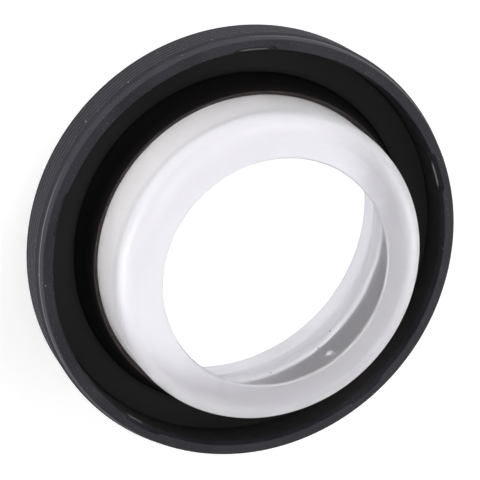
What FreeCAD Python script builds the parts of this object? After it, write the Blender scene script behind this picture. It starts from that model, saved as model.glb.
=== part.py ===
import FreeCAD, Part
import math
import os

# Radial shaft seal with a rubber covered, ribbed outside and a thin fluoropolymer lip, kept on
# the translucent sleeve that guards the lip until the seal is pushed onto its shaft.
# It lies flat: +Z is the seal's axis, towards the front, and z = 0 is the sleeve's back rim.
# Driving dimensions are in millimetres, and angles in degrees.

# What the seal fits
shaft_dia = 50.0             # shaft that the lip runs on
radial_section = 10.0        # from the shaft out to the bore of the housing
seal_width = 8.0             # from the back face to the front face

# Rubber cover, moulded round the outside of the case
rubber_wall = 1.8            # from the case to the crest of the ribs
rim_height = 1.15            # rubber in front of the case's edge
rim_step = 0.2               # how far the front opening stands outside the case's wall
face_step = 0.7              # from the crest of the ribs in to the edge of the flat face
land_step = 0.4              # from the crest of the ribs down to the plain front land
chamfer_length = 1.1         # chamfer between the flat face and the front land, along the axis
land_length = 0.9            # plain front land, along the axis
rib_pitch = 1.05
rib_height = 0.3
rib_crest = 0.3              # flat top of a rib, along the axis
rib_flank = 0.25             # sloping side of a rib, along the axis
back_chamfer_length = 0.3
back_chamfer_depth = 0.2

# Windows in the front rim, where pins of the mould held the case
window_count = 5
window_width = 5.8           # at the outer side of a window
window_flare = 0.85          # how much wider each end is at the front opening
window_depth = 0.45          # out from the front opening, at the face
window_taper = 0.2           # how much shallower a window is at the case's edge
window_corner = 0.35

# Pressed steel case and the ring that clamps the lip in it
sheet_thickness = 0.7
case_bend_radius = 0.6       # on the inside of the bend
flange_play = 0.25           # between the sleeve and the hole in the case's flange
clamp_thickness = 0.6
clamp_edge_radius = 0.25     # rounds the clamp ring's edges, and the lip bends round one

# Lip
lip_thickness = 0.8
lip_edge_gap = 0.4           # between the lip's outer edge and the case's bend
lip_rise = 2.45              # from the sealing edge out to the clamp ring's hole
lip_stretch = 0.4            # how far the sleeve holds the sealing edge outside the shaft's radius
lip_setback = 1.3            # sealing edge, behind the front face
lip_bevel = 0.5              # how far the lip's outer corner stands in front of its sealing edge

# Sleeve that carries the seal
sleeve_front = 9.8           # how far it stands out in front of the seal
sleeve_back = 10.8           # how far it stands out behind the seal
sleeve_wall = 0.8
sleeve_draft = 2.4           # slope of its wall, narrower towards the front
crown_width = 6.65           # its front end, from the wall in to the mouth
crown_slope = 3.0            # rise of the front end towards the mouth
shoulder_radius = 3.95
mouth_edge_radius = 0.3
skirt_play = 1.5             # between the shaft and the skirt's bore
skirt_length = 4.0           # straight skirt at the back end
skirt_edge_radius = 0.2
flare_length = 4.5           # between the skirt and the wall
flare_blend_radius = 6.0

# Places that follow from the sizes
crest_radius = shaft_dia / 2 + radial_section
case_outer_radius = crest_radius - rubber_wall
case_inner_radius = case_outer_radius - sheet_thickness
opening_radius = case_inner_radius + rim_step
case_bend_inside = min(case_bend_radius, lip_thickness)
case_bend_outside = case_bend_inside + sheet_thickness
sealing_radius = shaft_dia / 2 + lip_stretch
clamp_hole_radius = sealing_radius + lip_rise
lip_outer_radius = case_inner_radius - case_bend_inside - lip_edge_gap
clamp_nose_radius = min(clamp_edge_radius, clamp_thickness / 2)

seal_back_z = sleeve_back
seal_front_z = seal_back_z + seal_width
sleeve_top_z = seal_front_z + sleeve_front
case_edge_z = seal_front_z - rim_height
flange_front_z = seal_back_z + sheet_thickness
clamp_back_z = flange_front_z + lip_thickness
clamp_front_z = clamp_back_z + clamp_thickness
sealing_edge_z = seal_front_z - lip_setback

draft_slope = math.tan(math.radians(sleeve_draft))
flange_hole_radius = sealing_radius + draft_slope * (sealing_edge_z - seal_back_z) + flange_play

AXIS_POINT = FreeCAD.Vector(0, 0, 0)
AXIS = FreeCAD.Vector(0, 0, 1)
FULL_TURN = 360.0
SHORTEST_EDGE = 1e-6
CUT_MARGIN = 1.0             # how far a cutter reaches past what it cuts


def fillet_reaches(points, fillets):
    """How far each fillet reaches along its two sides, kept within them."""
    count = len(points)
    turns = []
    wanted = []
    for i, point in enumerate(points):
        arriving = point - points[i - 1]
        leaving = points[(i + 1) % count] - point
        turns.append(arriving.getAngle(leaving))
        wanted.append(fillets[i] * math.tan(turns[i] / 2))
    reaches = list(wanted)
    for i, point in enumerate(points):
        following = (i + 1) % count
        side = points[following].distanceToPoint(point)
        both = wanted[i] + wanted[following]
        if both > side:
            reaches[i] = min(reaches[i], wanted[i] * side / both)
            reaches[following] = min(reaches[following], wanted[following] * side / both)
    return reaches, turns


def closed_outline(corners):
    """Face bounded by (radius, height, fillet) corners in the XZ plane."""
    points = [FreeCAD.Vector(radius, 0, height) for radius, height, _ in corners]
    reaches, turns = fillet_reaches(points, [fillet for _, _, fillet in corners])
    edges = []
    arcs = []
    for i, point in enumerate(points):
        arriving = (point - points[i - 1]).normalize()
        leaving = (points[(i + 1) % len(points)] - point).normalize()
        start = point - arriving * reaches[i]
        end = point + leaving * reaches[i]
        middle = None
        if reaches[i] > SHORTEST_EDGE:
            radius = reaches[i] / math.tan(turns[i] / 2)
            inward = (leaving - arriving).normalize()
            middle = point + inward * (radius / math.cos(turns[i] / 2) - radius)
        arcs.append((start, middle, end))
    for i, (start, middle, end) in enumerate(arcs):
        before = arcs[i - 1][2]
        if before.distanceToPoint(start) > SHORTEST_EDGE:
            edges.append(Part.LineSegment(before, start).toShape())
        if middle:
            edges.append(Part.Arc(start, middle, end).toShape())
    return Part.Face(Part.Wire(edges))


def turned(corners):
    """Solid of revolution of an outline about the seal's axis."""
    return closed_outline(corners).revolve(AXIS_POINT, AXIS, FULL_TURN)


def parallel_corners(corners, wall):
    """The corners of an open outline, moved in by one wall with the sides kept parallel."""
    points = [FreeCAD.Vector(radius, 0, height) for radius, height, _ in corners]
    sides = [(following - point).normalize() for point, following in zip(points, points[1:])]
    moved = []
    for i, point in enumerate(points):
        arriving = sides[max(i - 1, 0)]
        leaving = sides[min(i, len(sides) - 1)]
        inward = FreeCAD.Vector(-arriving.z - leaving.z, 0, arriving.x + leaving.x)
        place = point + inward * (wall / (1 + arriving.dot(leaving)))
        turn = arriving.x * leaving.z - arriving.z * leaving.x
        fillet = corners[i][-1]
        if abs(turn) > SHORTEST_EDGE:
            fillet -= math.copysign(wall, turn)
        moved.append((place.x, place.z, max(fillet, 0)))
    return moved


def metal_case():
    """Pressed cup: a wall inside the rubber and a flange at the back."""
    return turned([
        (case_inner_radius, case_edge_z, 0),
        (case_outer_radius, case_edge_z, 0),
        (case_outer_radius, seal_back_z, case_bend_outside),
        (flange_hole_radius, seal_back_z, 0),
        (flange_hole_radius, flange_front_z, 0),
        (case_inner_radius, flange_front_z, case_bend_inside),
    ])


def rib_corners():
    """Ribbed outside of the rubber, from the front land to the back chamfer."""
    groove_radius = crest_radius - rib_height
    groove_floor = rib_pitch - rib_crest - 2 * rib_flank
    last_crest_z = seal_back_z + back_chamfer_length + rib_crest / 2
    height = seal_front_z - chamfer_length - land_length - rib_flank
    corners = [(crest_radius, height, 0)]
    while height - rib_pitch > last_crest_z:
        height -= rib_crest
        corners.append((crest_radius, height, 0))
        corners.append((groove_radius, height - rib_flank, 0))
        corners.append((groove_radius, height - rib_flank - groove_floor, 0))
        height -= rib_pitch - rib_crest
        corners.append((crest_radius, height, 0))
    corners.append((crest_radius, seal_back_z + back_chamfer_length, 0))
    return corners


def window_cutter():
    """Shallow trapezoid out of the front rim's inner edge, down to the case's edge."""
    top = seal_front_z + CUT_MARGIN
    taper_above = window_taper * CUT_MARGIN / rim_height
    inner = case_inner_radius - CUT_MARGIN
    outer = opening_radius + window_depth
    ring = turned([
        (inner, case_edge_z, 0),
        (outer - window_taper, case_edge_z, 0),
        (outer + taper_above, top, 0),
        (inner, top, 0),
    ])
    slope = window_flare / window_depth
    beyond = outer + CUT_MARGIN
    half_inner = window_width / 2 + slope * (outer - inner)
    half_beyond = window_width / 2 - slope * CUT_MARGIN
    plan = [(inner, -half_inner), (beyond, -half_beyond), (beyond, half_beyond), (inner, half_inner)]
    points = [FreeCAD.Vector(x, y, case_edge_z) for x, y in plan]
    wedge = Part.Face(Part.makePolygon(points + points[:1])).extrude(AXIS * (top - case_edge_z))
    cutter = ring.common(wedge)
    outer_edges = [edge for edge in cutter.Edges if is_outer_upright(edge)]
    return cutter.makeFillet(window_corner, outer_edges)


def is_outer_upright(edge):
    """True for the two upright edges at the outer side of a window."""
    middle = edge.CenterOfMass
    outside = math.hypot(middle.x, middle.y) > case_inner_radius
    return outside and edge.BoundBox.ZLength > rim_height


def rubber_cover():
    """Rubber moulded round the case: a front rim with windows and a ribbed outside."""
    land_radius = crest_radius - land_step
    land_front_z = seal_front_z - chamfer_length
    mid_wall_radius = case_outer_radius - sheet_thickness / 2
    corners = [
        (opening_radius, seal_front_z, 0),
        (crest_radius - face_step, seal_front_z, 0),
        (land_radius, land_front_z, 0),
        (land_radius, land_front_z - land_length, 0),
    ]
    corners += rib_corners()
    corners += [
        (crest_radius - back_chamfer_depth, seal_back_z, 0),
        (mid_wall_radius, seal_back_z, 0),
        (mid_wall_radius, case_edge_z, 0),
        (case_inner_radius, case_edge_z, 0),
    ]
    window = window_cutter()
    cutters = [metal_case()]
    for i in range(window_count):
        placed = window.copy()
        placed.rotate(AXIS_POINT, AXIS, FULL_TURN * i / window_count)
        cutters.append(placed)
    return turned(corners).cut(cutters)


def clamp_ring():
    """Flat ring pressed into the case, which holds the lip's edge against the flange."""
    return turned([
        (clamp_hole_radius, clamp_front_z, clamp_nose_radius),
        (case_inner_radius, clamp_front_z, clamp_nose_radius),
        (case_inner_radius, clamp_back_z, 0),
        (clamp_hole_radius, clamp_back_z, clamp_nose_radius),
    ])


def sealing_lip():
    """Thin washer whose inner part is turned forward, so that its edge lies on the sleeve."""
    across = clamp_hole_radius + clamp_nose_radius - sealing_radius
    along = sealing_edge_z - clamp_back_z - clamp_nose_radius
    outside_bend = clamp_nose_radius + lip_thickness
    lean = math.atan2(across, along) - math.asin(outside_bend / math.hypot(across, along))
    slope = math.tan(lean)
    outer_radius = sealing_radius + lip_thickness / math.cos(lean)
    return turned([
        (lip_outer_radius, flange_front_z, 0),
        (sealing_radius + slope * (sealing_edge_z - flange_front_z), flange_front_z, outside_bend),
        (sealing_radius, sealing_edge_z, 0),
        (outer_radius - slope * lip_bevel, sealing_edge_z + lip_bevel, 0),
        (outer_radius + slope * (sealing_edge_z - clamp_back_z), clamp_back_z, clamp_nose_radius),
        (lip_outer_radius, clamp_back_z, 0),
    ])


def assembly_sleeve():
    """Tube of even wall, with a flared skirt at the back and a mouth in its front end."""
    skirt_radius = shaft_dia / 2 + skirt_play + sleeve_wall
    flare_z = skirt_length + flare_length
    shoulder_z = sleeve_top_z - crown_width * math.tan(math.radians(crown_slope))
    shoulder_corner = sealing_radius - draft_slope * (shoulder_z - sealing_edge_z)
    outside = [
        (skirt_radius, 0, skirt_edge_radius),
        (skirt_radius, skirt_length, flare_blend_radius),
        (sealing_radius + draft_slope * (sealing_edge_z - flare_z), flare_z, flare_blend_radius),
        (shoulder_corner, shoulder_z, shoulder_radius),
        (shoulder_corner - crown_width, sleeve_top_z, mouth_edge_radius),
    ]
    inside = parallel_corners(outside, sleeve_wall)
    return turned(outside + inside[::-1])


def export_part(node, shape):
    """Write one sub-part as a STEP file."""
    shape.exportStep(os.path.join("parts", node + ".step"))


def main():
    """Build and export every sub-part."""
    os.makedirs("parts", exist_ok=True)
    export_part("metal_case", metal_case())
    export_part("rubber_cover", rubber_cover())
    export_part("clamp_ring", clamp_ring())
    export_part("sealing_lip", sealing_lip())
    export_part("assembly_sleeve", assembly_sleeve())


main()
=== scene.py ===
import math
from collections import namedtuple

import bpy
from mathutils import Matrix, Quaternion, Vector


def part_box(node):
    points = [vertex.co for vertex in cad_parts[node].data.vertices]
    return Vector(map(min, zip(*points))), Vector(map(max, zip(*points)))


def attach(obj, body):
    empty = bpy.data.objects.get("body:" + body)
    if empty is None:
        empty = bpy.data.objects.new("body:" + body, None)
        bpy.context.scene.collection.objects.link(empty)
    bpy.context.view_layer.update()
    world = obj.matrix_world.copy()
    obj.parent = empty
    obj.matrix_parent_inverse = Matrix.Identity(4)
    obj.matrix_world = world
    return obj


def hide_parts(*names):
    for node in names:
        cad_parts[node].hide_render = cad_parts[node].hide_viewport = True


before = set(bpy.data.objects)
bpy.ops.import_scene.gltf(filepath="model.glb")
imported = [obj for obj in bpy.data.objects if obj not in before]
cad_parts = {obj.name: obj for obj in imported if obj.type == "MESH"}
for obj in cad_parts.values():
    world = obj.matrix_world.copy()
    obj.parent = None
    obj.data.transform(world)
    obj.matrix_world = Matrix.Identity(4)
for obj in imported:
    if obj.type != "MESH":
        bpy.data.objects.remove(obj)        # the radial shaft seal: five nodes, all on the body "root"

bl_info = {
    "name": "Radial shaft seal",
    "version": (1, 0, 0),
    "blender": (4, 5, 0),
    "location": "View3D > Sidebar > Seal",
    "description": "Turns the pieces of a radial shaft seal on its assembly sleeve, and lights them",
    "category": "Object",
}

Corner = namedtuple("Corner", "radius height fillet share", defaults=(0.0, 0.0))
Bend = namedtuple("Bend", "arriving leaving turn reach")
Span = namedtuple("Span", "middle half share")
WallMark = namedtuple("WallMark", "turn height radius")
Specks = namedtuple("Specks", "spacing radius share")
Place = namedtuple("Place", "whole x y z")
Lamp = namedtuple("Lamp", "name turn height power")

# The seal lies flat: +Z is its axis and points to the front, and the sleeve's back rim is at z = 0.
MM = 0.001
BODY = "root"
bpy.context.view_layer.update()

CASE_LOW, CASE_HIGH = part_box("metal_case")
COVER_LOW, COVER_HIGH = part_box("rubber_cover")
CLAMP_LOW, CLAMP_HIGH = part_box("clamp_ring")
LIP_LOW, LIP_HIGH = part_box("sealing_lip")
_, SLEEVE_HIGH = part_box("assembly_sleeve")
FRONT = Vector((0, 0, COVER_HIGH.z))      # middle of the seal's front face

# Outlines
ARC_STEP = math.radians(12)
SMALL_FILLET = 0.2 * MM                   # up to this radius an arc has longer steps
SMALL_ARC_STEP = math.radians(30)
SHARP_ANGLE = math.radians(35)
GUARD = 0.06 * MM                         # from an arc's end to the point that keeps its side flat
GUARD_ROOM = 3 * GUARD                    # sides longer than this get such points
TURN_RADIUS = 1 * MM                      # circle that a profile is carried round
SLEEVE_FRONT = 9.8 * MM                   # from the seal's front face to the top of the mouth's corner
WINDOW_SHARE = "window_share"             # attribute: share of a window's depth that a point takes

# Marks, with their angles in degrees
BARE_SPANS = (                            # spans of the sheet's front edge that are bare
    Span(-145.2, 4.2, 1),
    Span(-72.3, 4.6, 0.4),
    Span(70, 3, 0.3),
)
HIGHLIGHT_SPANS = (Span(20, 34, 1), Span(-90, 20, 0.7))    # spans of the rubber's front corner that get a painted highlight
SPAN_CORE = 0.6                           # share of a span that is whole, before its ends fade
EDGE_BAND = 0.04 * MM                     # height of the bare edge
HIGHLIGHT_BAND = 0.22 * MM                     # half height of the painted highlight on the rubber's corner
GATE = WallMark(142.9, 15.3 * MM, 0.9 * MM)           # the sleeve's injection mark
INCLUSIONS = (                            # dark specks in the sleeve's wall
    WallMark(149.2, 9.9 * MM, 0.22 * MM),
    WallMark(141.3, 11.5 * MM, 0.22 * MM),
    WallMark(120.5, 11.0 * MM, 0.22 * MM),
)
COARSE_DUST = Specks(1.1 * MM, 0.09 * MM, 0.1)
FINE_DUST = Specks(0.4 * MM, 0.06 * MM, 0.25)
FINE_DUST_SHARE = 0.4                     # how much of the dust's colour the fine dust takes

# Sizes of the finishes' patterns, and lengths over which one finish passes into the next
RUBBER_PATCH = 6 * MM
PATCH_SHARE = 0.5                         # how much of the worn rubber's colour a patch takes
RUBBER_GRAIN = 0.2 * MM
COAT_CLOUD = 1.5 * MM
COAT_GRAIN = 0.2 * MM
LIP_FIBRE = 0.15 * MM
SLEEVE_WAVE = 3 * MM
SLEEVE_DEPTH = 5 * MM                     # how far light spreads inside the sleeve's plastic
RING_SHADE_FADE = 1.1 * MM                      # painted shade on the clamp ring, darker towards the lip
CUT_FADE = 0.1 * MM                       # below the lip's cut edge
LIP_SHADE_REACH = 2 * MM                        # below that edge, the lip's skin keeps its full painted shade before it gets paler
SHOULDER_SHADE_START = 0.1 * MM                 # below the sleeve's front end, where the painted shade round its shoulder begins
SHOULDER_SHADE = (0.2, 0.7)                # shares of the shoulder's rounding between which the painted shade is darkest
SKIRT_FADE = 0.5 * MM                     # behind the seal, from the clear sleeve to its frosted skirt

# Stage
FLOOR_Z = -0.02 * MM                      # just under the sleeve's back rim
FLOOR_HALF = 1.5
FLOOR_LIFTS = (                           # kind of ray, and the light added beside and inside the sleeve
    ("Is Camera Ray", 0.32, 0.7),
    ("Is Transmission Ray", 0.8, 0.75),
    ("Is Glossy Ray", 0.12, 0.0),
)
HORIZON = (1.98, 1.98, 1.98)              # colour and brightness of the studio's walls
ZENITH = (0.0, 0.0, 0.0)                  # colour and brightness overhead
LAMPS = (                                 # degrees from the near side and above the floor, watts
    Lamp("key", -60, 35, 2.2),
    Lamp("left", 55, 6, 4.5),
    Lamp("right", -90, 12, 1.2),
    Lamp("back", -150, 12, 3.4),
    Lamp("top", 0, 80, 0.9),
)
LAMP_DISTANCE = 1.0                       # from the middle of the seal's front face
LAMP_SIZE = 0.5
CLIP_START = 10 * MM


# Sizes and colours

def length(label, description, millimetres):
    """A length that a user can change."""
    return bpy.props.FloatProperty(
        name=label, description=description, default=millimetres * MM, min=0.0,
        subtype="DISTANCE", unit="LENGTH", precision=5)


def angle(label, description, degrees):
    """An angle that a user can change."""
    return bpy.props.FloatProperty(
        name=label, description=description, default=math.radians(degrees), subtype="ANGLE")


def colour(label, description, red, green, blue):
    """A colour that a user can change."""
    return bpy.props.FloatVectorProperty(
        name=label, description=description, default=(red, green, blue), min=0.0, max=1.0,
        size=3, subtype="COLOR")


class SealSizes(bpy.types.PropertyGroup):
    """Sizes of the seal that its box doesn't give"""
    cover_segments: bpy.props.IntProperty(
        name="Cover segments", description="Steps round the rubber cover", default=600, min=60)
    segments: bpy.props.IntProperty(
        name="Segments", description="Steps round the other pieces", default=480, min=60)
    sheet: length("Sheet", "Thickness of the case's sheet", 0.7)
    sheet_edge: length("Sheet edge", "Rounding of the sheet's cut edges", 0.05)
    rim_step: length("Rim step", "From the case's wall out to the front opening", 0.2)
    rim_edge: length("Rim edge", "Rounding of the front opening's edge", 0.12)
    face_step: length("Face step", "From the ribs' crest in to the edge of the face", 0.7)
    face_edge: length("Face edge", "Rounding between face and chamfer", 0.15)
    chamfer: length("Chamfer", "Length of the chamfer along the axis", 1.1)
    land_step: length("Land step", "From the ribs' crest down to the front land", 0.4)
    land: length("Land", "Length of the front land along the axis", 0.9)
    rib_pitch: length("Rib pitch", "From one rib to the next", 1.05)
    rib_height: length("Rib height", "Depth of the grooves between the ribs", 0.3)
    rib_crest: length("Rib crest", "Flat top of a rib", 0.3)
    rib_flank: length("Rib flank", "Sloping side of a rib, along the axis", 0.25)
    rib_edge: length("Rib edge", "Rounding of a rib's edges", 0.08)
    back_chamfer: length("Back chamfer", "Length of the back chamfer", 0.3)
    back_step: length("Back step", "Depth of the back chamfer", 0.2)
    windows: bpy.props.IntProperty(
        name="Windows", description="Windows in the front rim", default=5, min=1)
    window_width: length("Window width", "At the outer side of a window", 5.8)
    window_flare: length("Window flare", "Length of a window's slanted end", 0.85)
    window_depth: length("Window depth", "Out from the front opening", 0.45)
    window_taper: length("Window taper", "How much shallower it is at the case", 0.2)
    case_bend: length("Case bend", "Radius inside the case's bend", 0.6)
    flange_play: length("Flange play", "Between the sleeve and the hole in the case's flange", 0.25)
    clamp_hole: length("Clamp hole", "Radius of the clamp ring's hole", 27.85)
    clamp_edge: length("Clamp edge", "Rounding of the clamp ring's edges", 0.25)
    lip: length("Lip", "Thickness of the lip", 0.8)
    lip_bevel: length("Lip bevel", "Height of the lip's cut edge", 0.5)
    lip_edge: length("Lip edge", "Rounding of the lip's cut edge", 0.06)


class SleeveSizes(bpy.types.PropertyGroup):
    """Sizes of the assembly sleeve that its box doesn't give"""
    segments: bpy.props.IntProperty(
        name="Segments", description="Steps round the sleeve", default=480, min=60)
    wall: length("Wall", "Thickness of the wall", 0.8)
    contact: length("Contact radius", "Outer radius where the lip's edge lies on it", 25.4)
    draft: angle("Draft", "Slope of the wall", 2.4)
    crown: length("Crown", "Front end, from the wall in to the mouth", 6.65)
    crown_slope: angle("Crown slope", "Rise of the front end towards the mouth", 3.0)
    shoulder: length("Shoulder", "Rounding between wall and front end", 3.95)
    mouth_edge: length("Mouth edge", "Rounding of the mouth's edges", 0.3)
    skirt: length("Skirt", "Length of the straight skirt at the back", 4.0)
    skirt_edge: length("Skirt edge", "Rounding of the back rim", 0.2)
    flare: length("Flare", "Length between the skirt and the wall", 4.5)
    flare_blend: length("Flare blend", "Rounding at both ends of the flare", 6.0)


class SealFinishes(bpy.types.PropertyGroup):
    """Colours of the finishes"""
    rubber: colour("Rubber", "Rubber of the cover", 0.0145, 0.0142, 0.0215)
    rubber_worn: colour("Worn rubber", "Rubber where it is a little paler", 0.033, 0.0325, 0.043)
    # painted highlight on the rubber's front corner
    rubber_highlight: colour("Rubbed rubber", "Rubber on its rubbed corner", 0.17, 0.17, 0.185)
    case: colour("Case", "Dark coat on the pressed steel", 0.0285, 0.0268, 0.0265)
    bare_steel: colour("Bare steel", "Sheet edge in the windows", 0.42, 0.42, 0.43)
    # nearly black: painted shade on the lip's skin, also the dark end of the painted shade on the clamp
    # ring
    lip: colour("Lip", "Moulded skin of the lip", 0.006, 0.005, 0.005)
    lip_cut: colour("Cut lip", "Cut edge of the lip", 0.040, 0.030, 0.028)
    sleeve: colour("Sleeve", "Natural translucent plastic", 0.957, 0.945, 0.993)
    # painted warm light on the sleeve's plastic beside the lip
    sleeve_warm_light: colour("Sleeve foot", "The same plastic beside the lip", 0.99, 0.957, 0.962)
    # painted shade on the sleeve's plastic round its shoulder
    sleeve_shaded: colour("Sleeve shoulder", "The same plastic round its shoulder", 0.82, 0.81, 0.85)
    inclusion: colour("Inclusion", "Dark specks in the sleeve's wall", 0.15, 0.14, 0.13)
    dust: colour("Dust", "Specks of dust", 0.34, 0.35, 0.37)
    floor: colour("Floor", "Pale floor", 0.93, 0.93, 0.93)


class StageSettings(bpy.types.PropertyGroup):
    """Where the camera stands"""
    tilt: angle("Tilt", "Of the view, away from the seal's axis", 27.26)
    near_side: angle("Near side", "Direction of the side that is nearest to the camera", -28.4)
    roll: angle("Roll", "Of the camera about its view", 132.81)
    distance: length("Distance", "From the camera to where it aims", 281.0)
    aim_near: length("Aim", "From the axis to where the camera aims, towards the near side", 3.68)
    lens: bpy.props.FloatProperty(name="Lens", description="Focal length", default=135.0)
    shift: bpy.props.FloatProperty(
        name="Shift", description="Of the camera's frame, as a share of its width",
        default=-0.0019, precision=4)


# Shapes

def rounded_outline(corners):
    """Points (radius, height, share) of a closed outline with its corners rounded."""
    points = [Vector((corner.radius, corner.height)) for corner in corners]
    following = points[1:] + points[:1]
    bends = []
    for i, corner in enumerate(corners):
        arriving = (points[i] - points[i - 1]).normalized()
        leaving = (following[i] - points[i]).normalized()
        turn = arriving.angle(leaving, 0.0)
        bends.append(Bend(arriving, leaving, turn, corner.fillet * math.tan(turn / 2)))
    outline = []
    for i, corner in enumerate(corners):
        point, bend = points[i], bends[i]
        next_bend = bends[(i + 1) % len(bends)]
        before = (point - points[i - 1]).length - bends[i - 1].reach - bend.reach
        after = (following[i] - point).length - next_bend.reach - bend.reach
        place = corner_arc(point, corner.fillet, bend)
        if before > GUARD_ROOM:
            place.insert(0, point - bend.arriving * (bend.reach + GUARD))
        if after > GUARD_ROOM:
            place.append(point + bend.leaving * (bend.reach + GUARD))
        outline += [(spot.x, spot.y, corner.share) for spot in place]
    return outline


def corner_arc(point, fillet, bend):
    """Points of the arc that rounds a corner, or the corner itself where it is sharp."""
    if bend.reach <= 0:
        return [point]
    longest = SMALL_ARC_STEP if fillet <= SMALL_FILLET else ARC_STEP
    steps = max(2, math.ceil(bend.turn / longest))
    inward = (bend.leaving - bend.arriving).normalized()
    centre = point + inward * (fillet / math.cos(bend.turn / 2))
    first = point - bend.arriving * bend.reach - centre
    turn = math.copysign(bend.turn, bend.arriving.cross(bend.leaving))
    return [centre + Matrix.Rotation(turn * step / steps, 2) @ first for step in range(steps + 1)]


def parallel_corners(corners, wall):
    """The corners of an open outline, moved in by one wall with the sides kept parallel."""
    points = [Vector((corner.radius, corner.height)) for corner in corners]
    sides = [(after - before).normalized() for before, after in zip(points, points[1:])]
    moved = []
    for i, corner in enumerate(corners):
        arriving = sides[max(i - 1, 0)]
        leaving = sides[min(i, len(sides) - 1)]
        inward = Vector((-arriving.y - leaving.y, arriving.x + leaving.x))
        place = points[i] + inward * (wall / (1 + arriving.dot(leaving)))
        fillet = corner.fillet
        if 0 < i < len(corners) - 1:
            fillet = max(fillet - math.copysign(wall, arriving.cross(leaving)), 0)
        moved.append(Corner(place.x, place.y, fillet))
    return moved


def feed(tree, socket, value):
    """Link an input to a socket, or set it to a value."""
    if isinstance(value, bpy.types.NodeSocket):
        tree.links.new(value, socket)
    else:
        socket.default_value = value


def add_node(tree, kind, inputs, **settings):
    """Add a node, make its settings, feed its inputs and give its outputs."""
    node = tree.nodes.new(kind)
    for name, value in settings.items():
        setattr(node, name, value)
    for name, value in inputs.items():
        feed(tree, node.inputs[name], value)
    return node.outputs


def math_node(tree, operation, first, second=0.0):
    """Result of a calculation with sockets or numbers."""
    return add_node(tree, "ShaderNodeMath", {0: first, 1: second}, operation=operation)["Value"]


def vector_node(tree, operation, inputs):
    """Outputs of a calculation with vectors."""
    return add_node(tree, "ShaderNodeVectorMath", inputs, operation=operation)


def geometry_tree(name, kinds):
    """Geometry Nodes tree, and what its inputs give: the geometry, a material and the named ones."""
    tree = bpy.data.node_groups.new(name, "GeometryNodeTree")
    for label, kind in {"Geometry": "Geometry", "Material": "Material", **kinds}.items():
        tree.interface.new_socket(label, in_out="INPUT", socket_type="NodeSocket" + kind)
    tree.interface.new_socket("Geometry", in_out="OUTPUT", socket_type="NodeSocketGeometry")
    return tree, add_node(tree, "NodeGroupInput", {})


def end_tree(tree, given, geometry):
    """Make the geometry real, give it the material and hand it out of the tree."""
    real = add_node(tree, "GeometryNodeRealizeInstances", {"Geometry": geometry})
    dressed = add_node(
        tree, "GeometryNodeSetMaterial", {"Geometry": real["Geometry"], "Material": given["Material"]})
    add_node(tree, "NodeGroupOutput", {"Geometry": dressed["Geometry"]})
    return tree


def turning_tree():
    """Geometry Nodes that carry a profile round the seal's axis."""
    tree, given = geometry_tree("Turning", {"Segments": "Int"})
    profile = add_node(tree, "GeometryNodeMeshToCurve", {"Mesh": given["Geometry"]})
    circle = add_node(
        tree, "GeometryNodeCurvePrimitiveCircle",
        {"Resolution": given["Segments"], "Radius": TURN_RADIUS})
    carried = add_node(
        tree, "GeometryNodeCurveToMesh",
        {"Curve": circle["Curve"], "Profile Curve": profile["Curve"]})
    smooth = add_node(tree, "GeometryNodeSetShadeSmooth", {"Geometry": carried["Mesh"]})
    return end_tree(tree, given, smooth["Geometry"])


def window_tree():
    """Geometry Nodes that push the front rim's inner edge out at evenly spaced windows."""
    lengths = dict.fromkeys(("Opening radius", "Width", "Flare", "Depth"), "Float")
    tree, given = geometry_tree("Windows", {"Windows": "Int", **lengths})
    position = add_node(tree, "GeometryNodeInputPosition", {})["Position"]
    pushed = math_node(tree, "MULTIPLY", window_ramp(tree, given, position), given["Depth"])
    share = add_node(
        tree, "GeometryNodeInputNamedAttribute", {"Name": WINDOW_SHARE}, data_type="FLOAT")
    pushed = math_node(tree, "MULTIPLY", pushed, share["Attribute"])
    flat = vector_node(tree, "MULTIPLY", {0: position, 1: (1, 1, 0)})["Vector"]
    radial = vector_node(tree, "NORMALIZE", {0: flat})["Vector"]
    offset = vector_node(tree, "SCALE", {0: radial, "Scale": pushed})["Vector"]
    moved = add_node(
        tree, "GeometryNodeSetPosition", {"Geometry": given["Geometry"], "Offset": offset})
    return end_tree(tree, given, moved["Geometry"])


def window_ramp(tree, given, position):
    """How far into a window a position is: 0 beside it, 1 in it, and a soft slope at its ends."""
    parts = add_node(tree, "ShaderNodeSeparateXYZ", {"Vector": position})
    spacing = math_node(tree, "DIVIDE", math.tau, given["Windows"])
    turn = math_node(tree, "ARCTAN2", parts["Y"], parts["X"])
    step = math_node(tree, "DIVIDE", turn, spacing)
    beside = distance_from(tree, step, math_node(tree, "ROUND", step))
    along = math_node(
        tree, "MULTIPLY", math_node(tree, "MULTIPLY", beside, spacing), given["Opening radius"])
    half = math_node(tree, "MULTIPLY", given["Width"], 0.5)
    end = math_node(tree, "ADD", half, given["Flare"])
    ramp = add_node(
        tree, "ShaderNodeMapRange", {"Value": along, "From Min": end, "From Max": half},
        interpolation_type="SMOOTHSTEP")
    return ramp["Result"]


def distance_from(tree, value, middle):
    """How far a value is from a middle, on either side."""
    return math_node(tree, "ABSOLUTE", math_node(tree, "SUBTRACT", value, middle))


def node_modifier(piece, tree, values):
    """Geometry Nodes modifier whose inputs are given by their names in the tree."""
    modifier = piece.modifiers.new(tree.name, "NODES")
    modifier.node_group = tree
    for socket in tree.interface.items_tree:
        if socket.in_out == "INPUT" and socket.name in values:
            modifier[socket.identifier] = values[socket.name]


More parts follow.
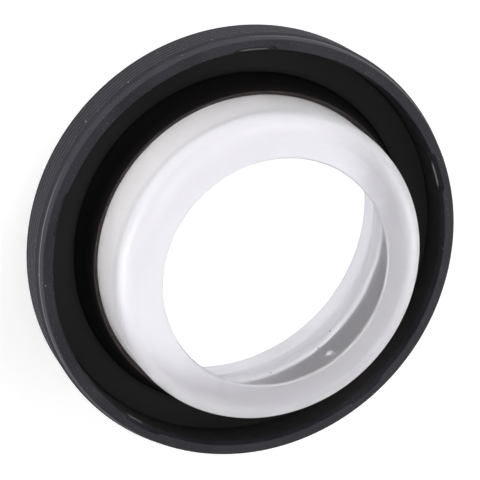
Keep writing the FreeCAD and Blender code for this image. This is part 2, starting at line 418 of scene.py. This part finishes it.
def profile_object(name, outline):
    """Closed profile as a mesh of edges, placed for the turning circle."""
    mesh = bpy.data.meshes.new(name)
    points = [(radius - TURN_RADIUS, -height, 0) for radius, height, _ in outline]
    edges = [(i, (i + 1) % len(points)) for i in range(len(points))]
    mesh.from_pydata(points, edges, [])
    shares = mesh.attributes.new(WINDOW_SHARE, "FLOAT", "POINT")
    shares.data.foreach_set("value", [share for _, _, share in outline])
    piece = bpy.data.objects.new(name, mesh)
    bpy.context.scene.collection.objects.link(piece)
    return piece


def signed_volume(mesh):
    """Volume inside a closed mesh, negative where its faces point inwards."""
    return sum(face.center.dot(face.normal) * face.area for face in mesh.polygons) / 3


def plain_mesh(piece, finish):
    """Replace a piece's modifiers by the mesh that they make, with faces outwards."""
    depsgraph = bpy.context.evaluated_depsgraph_get()
    mesh = bpy.data.meshes.new_from_object(piece.evaluated_get(depsgraph))
    profile = piece.data
    piece.modifiers.clear()
    piece.data = mesh
    bpy.data.meshes.remove(profile)
    mesh.name = piece.name
    mesh.attributes.remove(mesh.attributes[WINDOW_SHARE])
    if signed_volume(mesh) < 0:
        mesh.flip_normals()
    mesh.set_sharp_from_angle(angle=SHARP_ANGLE)
    mesh.materials.clear()
    mesh.materials.append(finish)


def turned_piece(name, corners, segments, finish, node, windows=None):
    """Turn a profile, and let the piece stand for its node."""
    piece = profile_object(name, rounded_outline(corners))
    node_modifier(piece, turning_tree(), {"Segments": segments, "Material": finish})
    if windows:
        node_modifier(piece, window_tree(), {**windows, "Material": finish})
    plain_mesh(piece, finish)
    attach(piece, BODY)
    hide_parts(node)


# Profiles

def contact_height(sizes):
    """Height at which the lip's edge lies on the sleeve."""
    return LIP_HIGH.z - sizes.lip_bevel


def wall_radius(sizes, sleeve, height):
    """Outer radius of the sleeve's sloping wall at a height."""
    return sleeve.contact + math.tan(sleeve.draft) * (contact_height(sizes) - height)


def shoulder_height(sleeve):
    """Height at which the sleeve's wall would meet its front end."""
    return COVER_HIGH.z + SLEEVE_FRONT - sleeve.crown * math.tan(sleeve.crown_slope)


def case_corners(sizes, sleeve):
    """Pressed cup, with a wall and a flange at the back."""
    outer, back, front = CASE_HIGH.x, CASE_LOW.z, CASE_HIGH.z
    inner = outer - sizes.sheet
    hole = wall_radius(sizes, sleeve, back) + sizes.flange_play
    return [
        Corner(inner, front, sizes.sheet_edge),
        Corner(outer, front, sizes.sheet_edge),
        Corner(outer, back, sizes.case_bend + sizes.sheet),
        Corner(hole, back, sizes.sheet_edge),
        Corner(hole, back + sizes.sheet, sizes.sheet_edge),
        Corner(inner, back + sizes.sheet, sizes.case_bend),
    ]


def rib_corners(sizes):
    """Ribbed outside of the cover, from the front land to the back chamfer."""
    crest = COVER_HIGH.x
    groove = crest - sizes.rib_height
    floor = sizes.rib_pitch - sizes.rib_crest - 2 * sizes.rib_flank
    edge = sizes.rib_edge
    last = COVER_LOW.z + sizes.back_chamfer + sizes.rib_crest / 2
    height = COVER_HIGH.z - sizes.chamfer - sizes.land - sizes.rib_flank
    corners = [Corner(crest, height, edge)]
    while height - sizes.rib_pitch > last:
        height -= sizes.rib_crest
        corners.append(Corner(crest, height, edge))
        corners.append(Corner(groove, height - sizes.rib_flank, edge))
        corners.append(Corner(groove, height - sizes.rib_flank - floor, edge))
        height -= sizes.rib_pitch - sizes.rib_crest
        corners.append(Corner(crest, height, edge))
    corners.append(Corner(crest, COVER_LOW.z + sizes.back_chamfer, edge))
    return corners


def cover_corners(sizes):
    """Rubber cover round the case, with the share of a window's depth that each corner takes."""
    crest, back, front = COVER_HIGH.x, COVER_LOW.z, COVER_HIGH.z
    case_outer, case_front = CASE_HIGH.x, CASE_HIGH.z
    case_inner = case_outer - sizes.sheet
    land = crest - sizes.land_step
    case_share = 1 - sizes.window_taper / sizes.window_depth
    corners = [
        Corner(case_inner, case_front, share=case_share),
        Corner(case_inner + sizes.rim_step, front, sizes.rim_edge, 1.0),
        Corner(crest - sizes.face_step, front, sizes.face_edge),
        Corner(land, front - sizes.chamfer, sizes.face_edge),
        Corner(land, front - sizes.chamfer - sizes.land, sizes.rib_edge),
    ]
    corners += rib_corners(sizes)
    corners += [
        Corner(crest - sizes.back_step, back, sizes.rib_edge),
        Corner(case_outer - sizes.sheet / 2, back, sizes.sheet_edge),
        Corner(case_outer, back + sizes.case_bend + sizes.sheet),
        Corner(case_outer, case_front),
    ]
    return corners


def clamp_corners(sizes):
    """Flat ring that holds the lip's edge against the flange."""
    outer = CASE_HIGH.x - sizes.sheet
    back, front = CLAMP_LOW.z, CLAMP_HIGH.z
    return [
        Corner(sizes.clamp_hole, front, sizes.clamp_edge),
        Corner(outer, front, sizes.clamp_edge),
        Corner(outer, back),
        Corner(sizes.clamp_hole, back, sizes.clamp_edge),
    ]


def lip_corners(sizes, contact):
    """Thin washer whose inner part is turned forward onto the sleeve."""
    edge_z = contact_height(sizes)
    clamp_back, flange_front = CLAMP_LOW.z, LIP_LOW.z
    across = sizes.clamp_hole + sizes.clamp_edge - contact
    along = edge_z - clamp_back - sizes.clamp_edge
    bend = sizes.clamp_edge + sizes.lip
    lean = math.atan2(across, along) - math.asin(bend / math.hypot(across, along))
    slope = math.tan(lean)
    outer = contact + sizes.lip / math.cos(lean)
    return [
        Corner(LIP_HIGH.x, flange_front),
        Corner(contact + slope * (edge_z - flange_front), flange_front, bend),
        Corner(contact, edge_z, sizes.lip_edge),
        Corner(outer - slope * sizes.lip_bevel, LIP_HIGH.z, sizes.lip_edge),
        Corner(outer + slope * (edge_z - clamp_back), clamp_back, sizes.clamp_edge),
        Corner(LIP_HIGH.x, clamp_back),
    ]


def sleeve_corners(sizes, sleeve):
    """Tube of even wall, with a flared skirt at the back and a mouth in its front end."""
    flare_z = sleeve.skirt + sleeve.flare
    shoulder_z = shoulder_height(sleeve)
    shoulder = wall_radius(sizes, sleeve, shoulder_z)
    outside = [
        Corner(SLEEVE_HIGH.x, 0, sleeve.skirt_edge),
        Corner(SLEEVE_HIGH.x, sleeve.skirt, sleeve.flare_blend),
        Corner(wall_radius(sizes, sleeve, flare_z), flare_z, sleeve.flare_blend),
        Corner(shoulder, shoulder_z, sleeve.shoulder),
        Corner(shoulder - sleeve.crown, COVER_HIGH.z + SLEEVE_FRONT, sleeve.mouth_edge),
    ]
    return outside + parallel_corners(outside, sleeve.wall)[::-1]


# Patterns

def object_place(tree):
    """Place on the object in metres, whole and in its three parts."""
    whole = add_node(tree, "ShaderNodeTexCoord", {})["Object"]
    parts = add_node(tree, "ShaderNodeSeparateXYZ", {"Vector": whole})
    return Place(whole, parts["X"], parts["Y"], parts["Z"])


def turn_round_axis(tree, place):
    """Angle of a place round the axis, from +X."""
    return math_node(tree, "ARCTAN2", place.y, place.x)


def distance_from_axis(tree, place):
    """How far a place is from the axis."""
    flat = add_node(tree, "ShaderNodeCombineXYZ", {"X": place.x, "Y": place.y})
    return vector_node(tree, "LENGTH", {0: flat["Vector"]})["Value"]


def spread(tree, value, low, high, to_low=0.0, to_high=1.0):
    """Map a value from one range to another, held at its ends."""
    ends = {"From Min": low, "From Max": high, "To Min": to_low, "To Max": to_high}
    return add_node(tree, "ShaderNodeMapRange", {"Value": value, **ends})["Result"]


def both(tree, first, second):
    """Mask of what two masks share."""
    return math_node(tree, "MULTIPLY", first, second)


def either(tree, *masks):
    """Mask of what any of the masks covers."""
    covered = masks[0]
    for mask in masks[1:]:
        covered = math_node(tree, "MAXIMUM", covered, mask)
    return covered


def mixed(tree, share, first, second):
    """Colour between two, each a socket or three numbers."""
    node = tree.nodes.new("ShaderNodeMix")
    node.data_type = "RGBA"
    feed(tree, node.inputs["Factor"], share)
    for name, value in (("A", first), ("B", second)):
        socket = next(item for item in node.inputs if item.name == name and item.type == "RGBA")
        feed(tree, socket, value if isinstance(value, bpy.types.NodeSocket) else (*value, 1.0))
    return next(item for item in node.outputs if item.type == "RGBA")


def noise(tree, place, size, detail=2.0, roughness=0.5):
    """Noise whose features are about the given size in metres."""
    inputs = {"Vector": place.whole, "Scale": 1 / size, "Detail": detail, "Roughness": roughness}
    return add_node(tree, "ShaderNodeTexNoise", inputs)["Fac"]


def bump(tree, height, distance, strength=1.0):
    """Normal of a surface with bumps of the given height in metres."""
    inputs = {"Height": height, "Distance": distance, "Strength": strength}
    return add_node(tree, "ShaderNodeBump", inputs)["Normal"]


def speck_mask(tree, place, specks):
    """Mask of small round specks in some cells of a pattern."""
    cells = add_node(
        tree, "ShaderNodeTexVoronoi", {"Vector": place.whole, "Scale": 1 / specks.spacing})
    number = add_node(tree, "ShaderNodeSeparateColor", {"Color": cells["Color"]})["Red"]
    near = math_node(tree, "LESS_THAN", cells["Distance"], specks.radius / specks.spacing)
    return both(tree, near, math_node(tree, "LESS_THAN", number, specks.share))


def span_mask(tree, place, spans):
    """Mask of some spans round the axis, each with its share, soft at their ends."""
    turn = turn_round_axis(tree, place)
    masks = []
    for span in spans:
        beside = distance_from(tree, turn, math.radians(span.middle))
        end, core = math.radians(span.half), math.radians(span.half * SPAN_CORE)
        masks.append(spread(tree, beside, end, core, to_high=span.share))
    return either(tree, *masks)


def wall_mark(tree, place, mark):
    """Mask of a round mark on the sleeve's wall, soft at its edge."""
    turn = math_node(tree, "SUBTRACT", turn_round_axis(tree, place), math.radians(mark.turn))
    along = math_node(tree, "MULTIPLY", turn, SLEEVE_HIGH.x)
    up = math_node(tree, "SUBTRACT", place.z, mark.height)
    offset = add_node(tree, "ShaderNodeCombineXYZ", {"X": along, "Y": up})["Vector"]
    away = vector_node(tree, "LENGTH", {0: offset})["Value"]
    return spread(tree, away, mark.radius, mark.radius / 2)


# Materials

def empty_material(name):
    """Node material without nodes, and its tree."""
    made = bpy.data.materials.new(name)
    made.use_nodes = True
    made.node_tree.nodes.clear()
    return made, made.node_tree


def surface(tree, inputs):
    """End a material's tree in a shader with the given inputs."""
    shader = add_node(tree, "ShaderNodeBsdfPrincipled", inputs)
    add_node(tree, "ShaderNodeOutputMaterial", {"Surface": shader["BSDF"]})


def painted_corner_highlight(tree, place, sizes):
    """Mask of the painted highlight along the cover's front corner."""
    away = distance_from(tree, place.z, COVER_HIGH.z - sizes.chamfer)
    return both(tree, spread(tree, away, HIGHLIGHT_BAND, 0), span_mask(tree, place, HIGHLIGHT_SPANS))


def rubber_material(finishes, sizes):
    """Matt black rubber with a fine grain, paler patches, a painted highlight on its front corner and a
    little dust.
    """
    made, tree = empty_material("Cover rubber")
    place = object_place(tree)
    patches = spread(tree, noise(tree, place, RUBBER_PATCH), low=0.35, high=0.65)
    grain = noise(tree, place, RUBBER_GRAIN, detail=3.0, roughness=0.7)
    paler = math_node(tree, "MULTIPLY", patches, PATCH_SHARE)
    worn = math_node(tree, "ADD", paler, spread(tree, grain, low=0.5, high=0.75))
    skin = mixed(tree, worn, finishes.rubber, finishes.rubber_worn)
    # painted highlight along the corner between the chamfer and the land
    skin = mixed(tree, painted_corner_highlight(tree, place, sizes), skin, finishes.rubber_highlight)
    fine = math_node(tree, "MULTIPLY", speck_mask(tree, place, FINE_DUST), FINE_DUST_SHARE)
    dust = either(tree, speck_mask(tree, place, COARSE_DUST), fine)
    surface(tree, {
        "Base Color": mixed(tree, dust, skin, finishes.dust),
        "Roughness": spread(tree, patches, 0, 1, to_low=0.5, to_high=0.62),
        "Specular IOR Level": 0.3,
        "Normal": bump(tree, grain, distance=0.08 * MM),
    })
    return made


def case_material(finishes, sizes):
    """Dark coated steel, bare at the sheet's front edge, with painted shade that darkens the clamp ring
    towards the lip.
    """
    made, tree = empty_material("Coated steel")
    place = object_place(tree)
    front = math_node(tree, "GREATER_THAN", place.z, CASE_HIGH.z - EDGE_BAND)
    bare = both(tree, front, span_mask(tree, place, BARE_SPANS))
    hole = sizes.clamp_hole
    # painted shade: the clamp ring darkens towards the lip, deep in the recess
    unshaded_share = spread(tree, distance_from_axis(tree, place), hole, hole + RING_SHADE_FADE, to_low=0.45)
    behind = math_node(tree, "LESS_THAN", place.z, CLAMP_LOW.z)
    coat = mixed(tree, either(tree, unshaded_share, behind), finishes.lip, finishes.case)
    clouds = noise(tree, place, COAT_CLOUD)
    surface(tree, {
        "Base Color": mixed(tree, bare, coat, finishes.bare_steel),
        "Metallic": bare,
        "Roughness": spread(tree, clouds, low=0.3, high=0.7, to_low=0.42, to_high=0.55),
        "Specular IOR Level": 0.15,
        "Normal": bump(tree, noise(tree, place, COAT_GRAIN), distance=0.008 * MM),
    })
    return made


def lip_material(finishes, sizes):
    """Dark brown fluoropolymer on its cut edge, with painted shade that makes the rest of its skin
    nearly black, paler again towards the clamp ring.
    """
    made, tree = empty_material("Lip fluoropolymer")
    place = object_place(tree)
    normal = add_node(tree, "ShaderNodeNewGeometry", {})["True Normal"]
    facing = add_node(tree, "ShaderNodeSeparateXYZ", {"Vector": normal})["Z"]
    cut_low = contact_height(sizes)
    high = spread(tree, place.z, cut_low - CUT_FADE, cut_low)
    cut = both(tree, high, spread(tree, facing, low=0.3, high=0.5))
    fibres = noise(tree, place, LIP_FIBRE, detail=3.0, roughness=0.7)
    brown = both(tree, cut, spread(tree, fibres, low=0.2, high=0.6, to_low=0.6))
    # painted shade: the lip's skin is darkest near its edge and paler near the clamp ring
    lip_shade_share = spread(tree, place.z, CLAMP_HIGH.z, cut_low - LIP_SHADE_REACH, to_low=0.55)
    skin = mixed(tree, lip_shade_share, finishes.case, finishes.lip)
    surface(tree, {
        "Base Color": mixed(tree, brown, skin, finishes.lip_cut),
        "Roughness": 0.5,
        "Specular IOR Level": 0.2,
        "Normal": bump(tree, fibres, distance=0.01 * MM),
    })
    return made


def sleeve_colour(tree, place, finishes, sleeve):
    """Plastic with painted warm light beside the lip and painted shade round the shoulder."""
    # painted warm light on the wall beside the lip
    warm_light_share = both(
        tree, spread(tree, place.z, SLEEVE_HIGH.z, COVER_HIGH.z),
        spread(tree, place.z, LIP_LOW.z, LIP_HIGH.z))
    plastic = mixed(tree, warm_light_share, finishes.sleeve, finishes.sleeve_warm_light)
    # painted shade round the shoulder
    top, drop = shoulder_height(sleeve), sleeve.shoulder
    shade_from, shade_to = [top - share * drop for share in SHOULDER_SHADE]
    shoulder = both(
        tree, spread(tree, place.z, top - drop, shade_to),
        spread(tree, place.z, top - SHOULDER_SHADE_START, shade_from))
    return mixed(tree, shoulder, plastic, finishes.sleeve_shaded)


def sleeve_material(finishes, sleeve):
    """Natural plastic that light passes through, clearer in front of the skirt."""
    made, tree = empty_material("Sleeve plastic")
    place = object_place(tree)
    dark = either(tree, *[wall_mark(tree, place, inclusion) for inclusion in INCLUSIONS])
    marked = either(tree, wall_mark(tree, place, GATE), dark)
    solid = spread(tree, marked, 0, 1, to_low=1, to_high=0)
    skirt = spread(tree, place.z, CASE_LOW.z, CASE_LOW.z - SKIRT_FADE)
    clear = spread(tree, skirt, 0, 1, to_low=0.7, to_high=0.55)
    surface(tree, {
        "Base Color": mixed(
            tree, dark, sleeve_colour(tree, place, finishes, sleeve), finishes.inclusion),
        "Subsurface Radius": (1.0, 1.0, 1.0),
        "Subsurface Scale": SLEEVE_DEPTH,
        "Subsurface Weight": solid,
        "Transmission Weight": both(tree, clear, solid),
        "Roughness": spread(tree, skirt, 0, 1, to_low=0.35, to_high=0.8),
        "IOR": 1.4,
        "Specular IOR Level": 0.25,
        "Normal": bump(tree, noise(tree, place, SLEEVE_WAVE), distance=0.05 * MM, strength=0.5),
    })
    return made


def floor_material(finishes):
    """Pale floor that glows white where no shadow falls on it, and glows more for the camera inside the
    sleeve, as painted light over the shade there.
    """
    made, tree = empty_material("Floor")
    rays = add_node(tree, "ShaderNodeLightPath", {})
    # painted light: inside the sleeve the camera's lift is stronger, over the shade that the sleeve
    # casts
    inside = math_node(
        tree, "LESS_THAN", distance_from_axis(tree, object_place(tree)), SLEEVE_HIGH.x)
    strength = 0.0
    for ray, beside, within in FLOOR_LIFTS:
        share = spread(tree, inside, 0, 1, beside, within)
        strength = math_node(tree, "ADD", math_node(tree, "MULTIPLY", share, rays[ray]), strength)
    paint = add_node(tree, "ShaderNodeBsdfDiffuse", {"Color": (*finishes.floor, 1.0)})
    lift = add_node(tree, "ShaderNodeEmission", {"Strength": strength})
    lifted = add_node(tree, "ShaderNodeAddShader", {0: paint["BSDF"], 1: lift["Emission"]})
    add_node(tree, "ShaderNodeOutputMaterial", {"Surface": lifted["Shader"]})
    return made


# Stage

def lay_floor(finishes):
    """Large square floor under the sleeve's back rim."""
    sides = (-FLOOR_HALF, FLOOR_HALF)
    mesh = bpy.data.meshes.new("floor")
    mesh.from_pydata([(x, y, FLOOR_Z) for x in sides for y in sides], [], [(0, 2, 3, 1)])
    mesh.materials.append(floor_material(finishes))
    floor = bpy.data.objects.new("floor", mesh)
    bpy.context.scene.collection.objects.link(floor)


def light_world():
    """White studio, bright at the walls and dim overhead."""
    world = bpy.data.worlds.new("Studio")
    world.use_nodes = True
    tree = world.node_tree
    direction = add_node(tree, "ShaderNodeTexCoord", {})["Generated"]
    height = add_node(tree, "ShaderNodeSeparateXYZ", {"Vector": direction})["Z"]
    feed(tree, tree.nodes["Background"].inputs["Color"], mixed(tree, height, HORIZON, ZENITH))
    bpy.context.scene.world = world


def outward(turn, rise):
    """One metre out from the axis in a direction, and up by a rise."""
    return Vector((math.cos(turn), math.sin(turn), rise))


def stand_camera(stage):
    """Camera that looks down on the front face from its near side."""
    near = outward(stage.near_side, 0)
    back = near * math.sin(stage.tilt) + Vector((0, 0, math.cos(stage.tilt)))
    data = bpy.data.cameras.new("camera")
    data.lens = stage.lens
    data.shift_x = stage.shift
    data.clip_start = CLIP_START
    data.dof.use_dof = False
    camera = bpy.data.objects.new("camera", data)
    camera.rotation_mode = "QUATERNION"
    camera.rotation_quaternion = back.to_track_quat("Z", "Y") @ Quaternion((0, 0, 1), stage.roll)
    camera.location = FRONT + near * stage.aim_near + back * stage.distance
    bpy.context.scene.collection.objects.link(camera)
    bpy.context.scene.camera = camera


def set_lamps(stage):
    """Soft round lamps that face the seal."""
    for lamp in LAMPS:
        data = bpy.data.lights.new(lamp.name, "AREA")
        data.shape = "DISK"
        data.size = LAMP_SIZE
        data.energy = lamp.power
        turn = stage.near_side + math.radians(lamp.turn)
        direction = outward(turn, math.tan(math.radians(lamp.height))).normalized()
        placed = bpy.data.objects.new(lamp.name, data)
        placed.rotation_mode = "QUATERNION"
        placed.rotation_quaternion = direction.to_track_quat("Z", "Y")
        placed.location = FRONT + direction * LAMP_DISTANCE
        bpy.context.scene.collection.objects.link(placed)


# Operators

class SEAL_OT_case(bpy.types.Operator):
    """Turn the pressed case and the ring that clamps the lip in it"""
    bl_idname = "seal.case"
    bl_label = "Case and clamp ring"

    def execute(self, context):
        scene = context.scene
        sizes = scene.seal_sizes
        steel = case_material(scene.seal_finishes, sizes)
        case = case_corners(sizes, scene.sleeve_sizes)
        turned_piece("case", case, sizes.segments, steel, "metal_case")
        clamp = clamp_corners(sizes)
        turned_piece("clamp", clamp, sizes.segments, steel, "clamp_ring")
        return {"FINISHED"}


class SEAL_OT_cover(bpy.types.Operator):
    """Turn the ribbed rubber cover and open the windows in its front rim"""
    bl_idname = "seal.cover"
    bl_label = "Rubber cover"

    def execute(self, context):
        sizes = context.scene.seal_sizes
        windows = {
            "Windows": sizes.windows,
            "Opening radius": CASE_HIGH.x - sizes.sheet + sizes.rim_step,
            "Width": sizes.window_width,
            "Flare": sizes.window_flare,
            "Depth": sizes.window_depth,
        }
        turned_piece(
            "cover", cover_corners(sizes), sizes.cover_segments,
            rubber_material(context.scene.seal_finishes, sizes),
            "rubber_cover", windows)
        return {"FINISHED"}


class SEAL_OT_lip(bpy.types.Operator):
    """Turn the thin lip that lies on the sleeve"""
    bl_idname = "seal.lip"
    bl_label = "Sealing lip"

    def execute(self, context):
        sizes = context.scene.seal_sizes
        turned_piece(
            "lip", lip_corners(sizes, context.scene.sleeve_sizes.contact), sizes.segments,
            lip_material(context.scene.seal_finishes, sizes), "sealing_lip")
        return {"FINISHED"}


class SEAL_OT_sleeve(bpy.types.Operator):
    """Turn the translucent assembly sleeve"""
    bl_idname = "seal.sleeve"
    bl_label = "Assembly sleeve"

    def execute(self, context):
        sleeve = context.scene.sleeve_sizes
        turned_piece(
            "sleeve", sleeve_corners(context.scene.seal_sizes, sleeve), sleeve.segments,
            sleeve_material(context.scene.seal_finishes, sleeve), "assembly_sleeve")
        return {"FINISHED"}


class SEAL_OT_stage(bpy.types.Operator):
    """Lay the floor, set the lights and stand the camera"""
    bl_idname = "seal.stage"
    bl_label = "Stage"

    def execute(self, context):
        context.scene.view_settings.view_transform = "Standard"
        lay_floor(context.scene.seal_finishes)
        light_world()
        stand_camera(context.scene.seal_stage)
        set_lamps(context.scene.seal_stage)
        return {"FINISHED"}


class SEAL_PT_panel(bpy.types.Panel):
    """Steps that build the seal and its stage"""
    bl_label = "Radial shaft seal"
    bl_idname = "SEAL_PT_panel"
    bl_space_type = "VIEW_3D"
    bl_region_type = "UI"
    bl_category = "Seal"

    def draw(self, context):
        for step in STEPS:
            self.layout.operator(step.bl_idname)
        for group, name in GROUPS.items():
            self.layout.label(text=group.__doc__)
            for setting in group.__annotations__:
                self.layout.prop(getattr(context.scene, name), setting)


STEPS = (SEAL_OT_case, SEAL_OT_cover, SEAL_OT_lip, SEAL_OT_sleeve, SEAL_OT_stage)
GROUPS = {
    SealSizes: "seal_sizes",
    SleeveSizes: "sleeve_sizes",
    SealFinishes: "seal_finishes",
    StageSettings: "seal_stage",
}


def register():
    """Register the classes and hang the settings on the scene."""
    for item in (*GROUPS, *STEPS, SEAL_PT_panel):
        bpy.utils.register_class(item)
    for group, name in GROUPS.items():
        setattr(bpy.types.Scene, name, bpy.props.PointerProperty(type=group))


def unregister():
    """Undo register."""
    for name in GROUPS.values():
        delattr(bpy.types.Scene, name)
    for item in (SEAL_PT_panel, *reversed(STEPS), *reversed(GROUPS)):
        bpy.utils.unregister_class(item)


def main():
    """Build every piece and the stage."""
    register()
    bpy.ops.seal.case()
    bpy.ops.seal.cover()
    bpy.ops.seal.lip()
    bpy.ops.seal.sleeve()
    bpy.ops.seal.stage()


if __name__ == "__main__":
    main()
